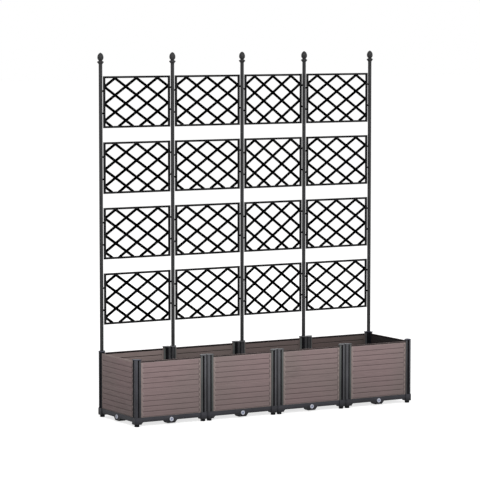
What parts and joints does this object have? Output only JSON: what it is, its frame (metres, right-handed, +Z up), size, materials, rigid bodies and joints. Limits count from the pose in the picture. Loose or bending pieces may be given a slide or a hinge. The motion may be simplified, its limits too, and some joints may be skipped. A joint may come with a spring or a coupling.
{
  "type": "planter with trellis",
  "caption": "Long modular planter trough with plank-pattern sides on footed trays, and a trellis of diamond lattice panels on posts with acorn finials along the back.",
  "frame": {"origin": "on the floor under the middle of the footprint", "axes": "+Z up, +X along the row to the viewer's right when facing the front, +Y to the back, where the trellis stands; the front is -Y"},
  "size_m": [1.5996, 0.3996, 1.7955],
  "materials": {
    "tray_plastic": "satin black moulded plastic",
    "post_plastic": "satin dark grey moulded plastic",
    "panel_plastic": "grey-brown moulded plastic with fine wood grain",
    "lattice_plastic": "near-black moulded plastic",
    "plug_plastic": "pale grey-blue moulded plastic"
  },
  "bodies": {
    "planter": {"base_tray_1": "tray_plastic", "corner_post_1_front_left": "post_plastic", "corner_post_1_front_right": "post_plastic", "corner_post_1_back_right": "post_plastic", "corner_post_1_back_left": "post_plastic", "side_panel_front_1": "panel_plastic", "side_panel_back_1": "panel_plastic", "base_tray_2": "tray_plastic", "corner_post_2_front_left": "post_plastic", "corner_post_2_front_right": "post_plastic", "corner_post_2_back_right": "post_plastic", "corner_post_2_back_left": "post_plastic", "side_panel_front_2": "panel_plastic", "side_panel_back_2": "panel_plastic", "base_tray_3": "tray_plastic", "corner_post_3_front_left": "post_plastic", "corner_post_3_front_right": "post_plastic", "corner_post_3_back_right": "post_plastic", "corner_post_3_back_left": "post_plastic", "side_panel_front_3": "panel_plastic", "side_panel_back_3": "panel_plastic", "base_tray_4": "tray_plastic", "corner_post_4_front_left": "post_plastic", "corner_post_4_front_right": "post_plastic", "corner_post_4_back_right": "post_plastic", "corner_post_4_back_left": "post_plastic", "side_panel_front_4": "panel_plastic", "side_panel_back_4": "panel_plastic", "side_panel_left_end": "panel_plastic", "side_panel_right_end": "panel_plastic", "trellis_post_1": "post_plastic", "trellis_post_2": "post_plastic", "trellis_post_3": "post_plastic", "trellis_post_4": "post_plastic", "trellis_post_5": "post_plastic", "lattice_row1_bay1": "lattice_plastic", "lattice_row1_bay2": "lattice_plastic", "lattice_row1_bay3": "lattice_plastic", "lattice_row1_bay4": "lattice_plastic", "lattice_row2_bay1": "lattice_plastic", "lattice_row2_bay2": "lattice_plastic", "lattice_row2_bay3": "lattice_plastic", "lattice_row2_bay4": "lattice_plastic", "lattice_row3_bay1": "lattice_plastic", "lattice_row3_bay2": "lattice_plastic", "lattice_row3_bay3": "lattice_plastic", "lattice_row3_bay4": "lattice_plastic", "lattice_row4_bay1": "lattice_plastic", "lattice_row4_bay2": "lattice_plastic", "lattice_row4_bay3": "lattice_plastic", "lattice_row4_bay4": "lattice_plastic"},
    "divider_1": {"divider_1": "tray_plastic"},
    "divider_2": {"divider_2": "tray_plastic"},
    "divider_3": {"divider_3": "tray_plastic"},
    "divider_4": {"divider_4": "tray_plastic"},
    "drain_plug_front_1": {"drain_plug_front_1": "plug_plastic"},
    "drain_plug_front_2": {"drain_plug_front_2": "plug_plastic"},
    "drain_plug_front_3": {"drain_plug_front_3": "plug_plastic"},
    "drain_plug_front_4": {"drain_plug_front_4": "plug_plastic"},
    "drain_plug_left_end": {"drain_plug_left_end": "plug_plastic"}
  },
  "joints": [
    {"name": "divider_1_lift", "type": "slide", "parent": "planter", "child": "divider_1", "axis": [0, 0, 1], "range_m": [0, 0.3]},
    {"name": "divider_2_lift", "type": "slide", "parent": "planter", "child": "divider_2", "axis": [0, 0, 1], "range_m": [0, 0.3]},
    {"name": "divider_3_lift", "type": "slide", "parent": "planter", "child": "divider_3", "axis": [0, 0, 1], "range_m": [0, 0.3]},
    {"name": "divider_4_lift", "type": "slide", "parent": "planter", "child": "divider_4", "axis": [0, 0, 1], "range_m": [0, 0.3]},
    {"name": "drain_plug_front_1_pull", "type": "slide", "parent": "planter", "child": "drain_plug_front_1", "axis": [0, -1, 0], "range_m": [0, 0.02]},
    {"name": "drain_plug_front_2_pull", "type": "slide", "parent": "planter", "child": "drain_plug_front_2", "axis": [0, -1, 0], "range_m": [0, 0.02]},
    {"name": "drain_plug_front_3_pull", "type": "slide", "parent": "planter", "child": "drain_plug_front_3", "axis": [0, -1, 0], "range_m": [0, 0.02]},
    {"name": "drain_plug_front_4_pull", "type": "slide", "parent": "planter", "child": "drain_plug_front_4", "axis": [0, -1, 0], "range_m": [0, 0.02]},
    {"name": "drain_plug_left_end_pull", "type": "slide", "parent": "planter", "child": "drain_plug_left_end", "axis": [-1, 0, 0], "range_m": [0, 0.02]}
  ]
}
